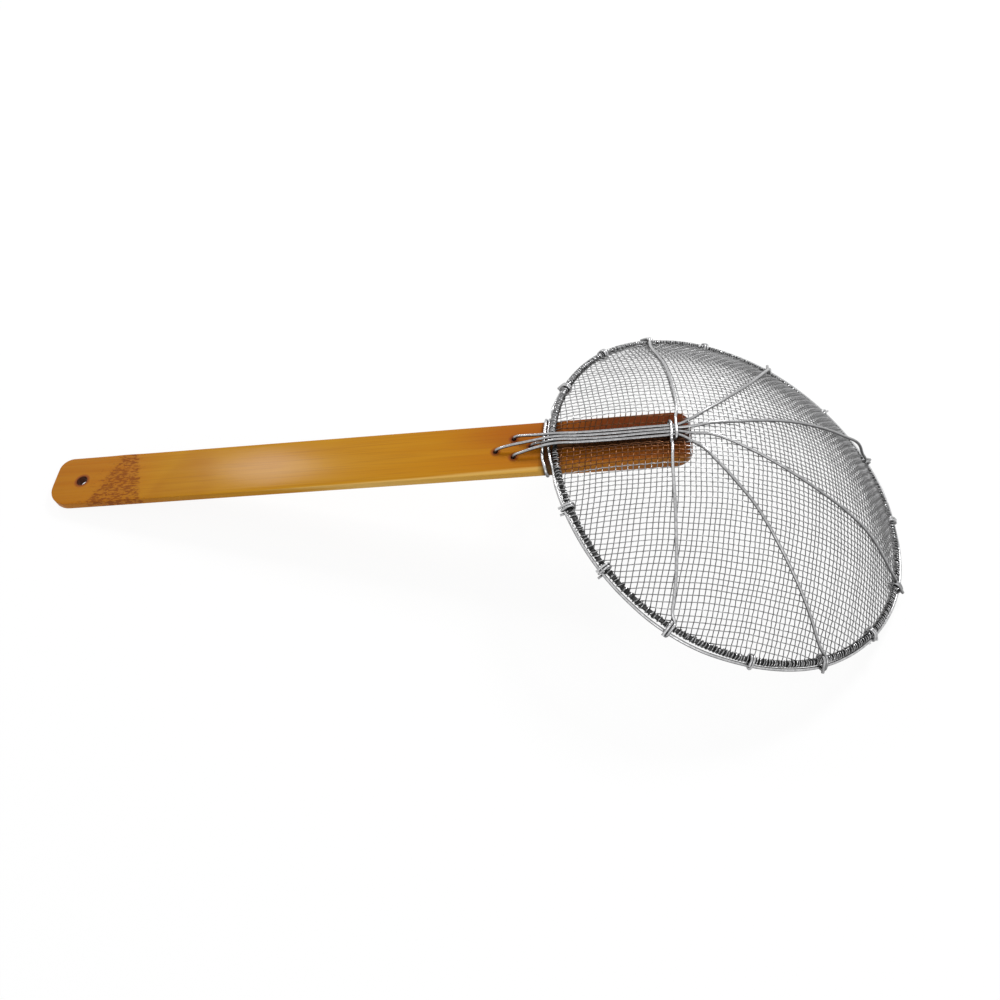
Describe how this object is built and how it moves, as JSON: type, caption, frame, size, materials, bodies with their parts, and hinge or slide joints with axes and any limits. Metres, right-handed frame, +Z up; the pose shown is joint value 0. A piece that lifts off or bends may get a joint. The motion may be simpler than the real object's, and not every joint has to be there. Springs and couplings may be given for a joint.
{
  "type": "spider skimmer",
  "caption": "Round domed skimmer of woven steel wire on a wire-wound rim with fanned ribs, tied to a long flat bamboo handle with a hang hole.",
  "frame": {"origin": "middle of the bounding box at the surface that the skimmer lies on", "axes": "+X along the handle towards the bowl, +Y across the handle, +Z up, with the skimmer lying face down"},
  "size_m": [0.4694, 0.2108, 0.0859],
  "materials": {
    "bamboo": "clear lacquered bamboo with lengthwise grain",
    "steel_wire": "drawn stainless steel wire",
    "hem_wire": "fine stainless wire ends wound close together",
    "mesh_wire": "fine woven stainless wire"
  },
  "bodies": {
    "root": {"bamboo_handle": "bamboo", "cross_brace": "steel_wire", "mesh_wires_across": "mesh_wire", "mesh_wires_along": "mesh_wire", "rib_pair_lower": "steel_wire", "rib_pair_upper": "steel_wire", "rim_hoop": "steel_wire", "rim_outer_wire": "steel_wire", "rim_tie_01": "steel_wire", "rim_tie_02": "steel_wire", "rim_tie_03": "steel_wire", "rim_tie_04": "steel_wire", "rim_tie_05": "steel_wire", "rim_tie_06": "steel_wire", "rim_tie_07": "steel_wire", "rim_tie_08": "steel_wire", "rim_tie_09": "steel_wire", "rim_winding": "hem_wire"}
  },
  "joints": []
}
